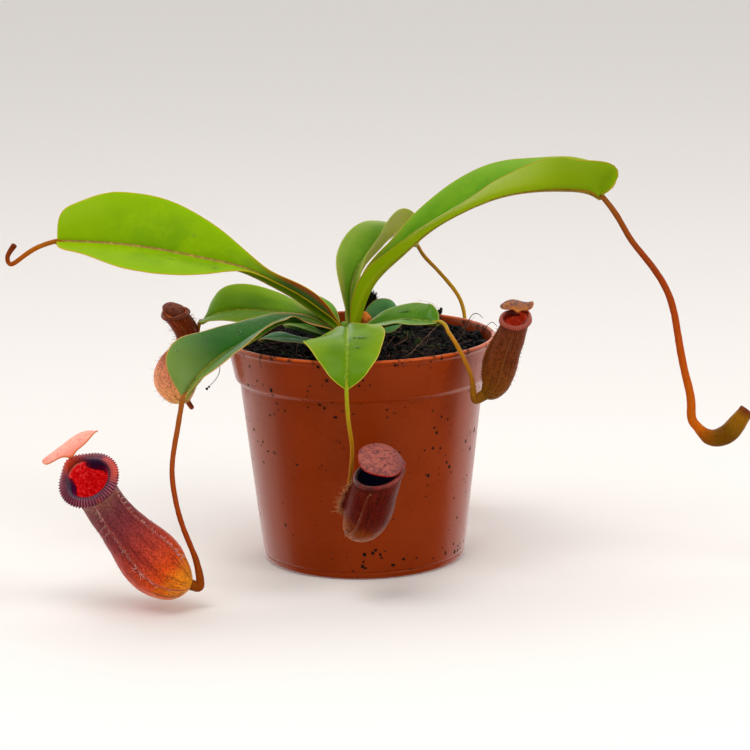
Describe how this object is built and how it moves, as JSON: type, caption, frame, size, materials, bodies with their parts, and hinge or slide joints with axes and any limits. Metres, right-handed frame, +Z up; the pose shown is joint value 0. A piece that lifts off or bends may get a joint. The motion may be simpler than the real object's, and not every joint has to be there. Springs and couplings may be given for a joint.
{
  "type": "potted tropical pitcher plant",
  "caption": "Young tropical pitcher plant with broad leaves, tendrils, ribbed pitchers with lids and buds, rooted in soil in a round plastic nursery pot.",
  "frame": {"origin": "centre of the pot's flat base, on the surface it stands on", "axes": "+Z up, -Y the front that faces the viewer, +X to the viewer's right, along the plant's widest spread"},
  "size_m": [0.2973, 0.1898, 0.1675],
  "materials": {
    "pot": "glossy moulded terracotta-brown plastic",
    "soil": "damp fibrous potting mix of bark, moss and peat",
    "moss": "dark dried moss",
    "stem": "green young stem",
    "leaf": "leathery satin leaf",
    "tendril": "smooth satin tendril",
    "pitcher": "leathery satin pitcher wall",
    "peristome": "glossy ribbed lip",
    "lid": "satin lid",
    "bud": "smooth satin bud"
  },
  "bodies": {
    "root": {"pot": "pot", "soil": "soil", "moss_clump": "moss", "stem": "stem", "leaf_left": "leaf", "leaf_right": "leaf", "leaf_back": "leaf", "leaf_left_low": "leaf", "leaf_front_left": "leaf", "leaf_front": "leaf", "leaf_front_right": "leaf", "leaf_back_right": "leaf", "leaf_soil_left": "leaf", "leaf_narrow": "leaf", "leaf_back_left": "leaf", "tendril_left": "tendril", "tendril_right": "tendril", "tendril_back": "tendril", "tendril_left_low": "tendril", "tendril_front_left": "tendril", "tendril_front": "tendril", "tendril_front_right": "tendril", "pitcher_front_left": "pitcher", "peristome_front_left": "peristome", "lid_front_left": "lid", "pitcher_front": "pitcher", "peristome_front": "peristome", "lid_front": "lid", "pitcher_front_right": "pitcher", "peristome_front_right": "peristome", "lid_front_right": "lid", "pitcher_left_low": "pitcher", "peristome_left_low": "peristome", "lid_left_low": "lid", "pitcher_back": "pitcher", "peristome_back": "peristome", "lid_back": "lid", "bud_right": "bud", "bud_crown": "tendril"}
  },
  "joints": []
}
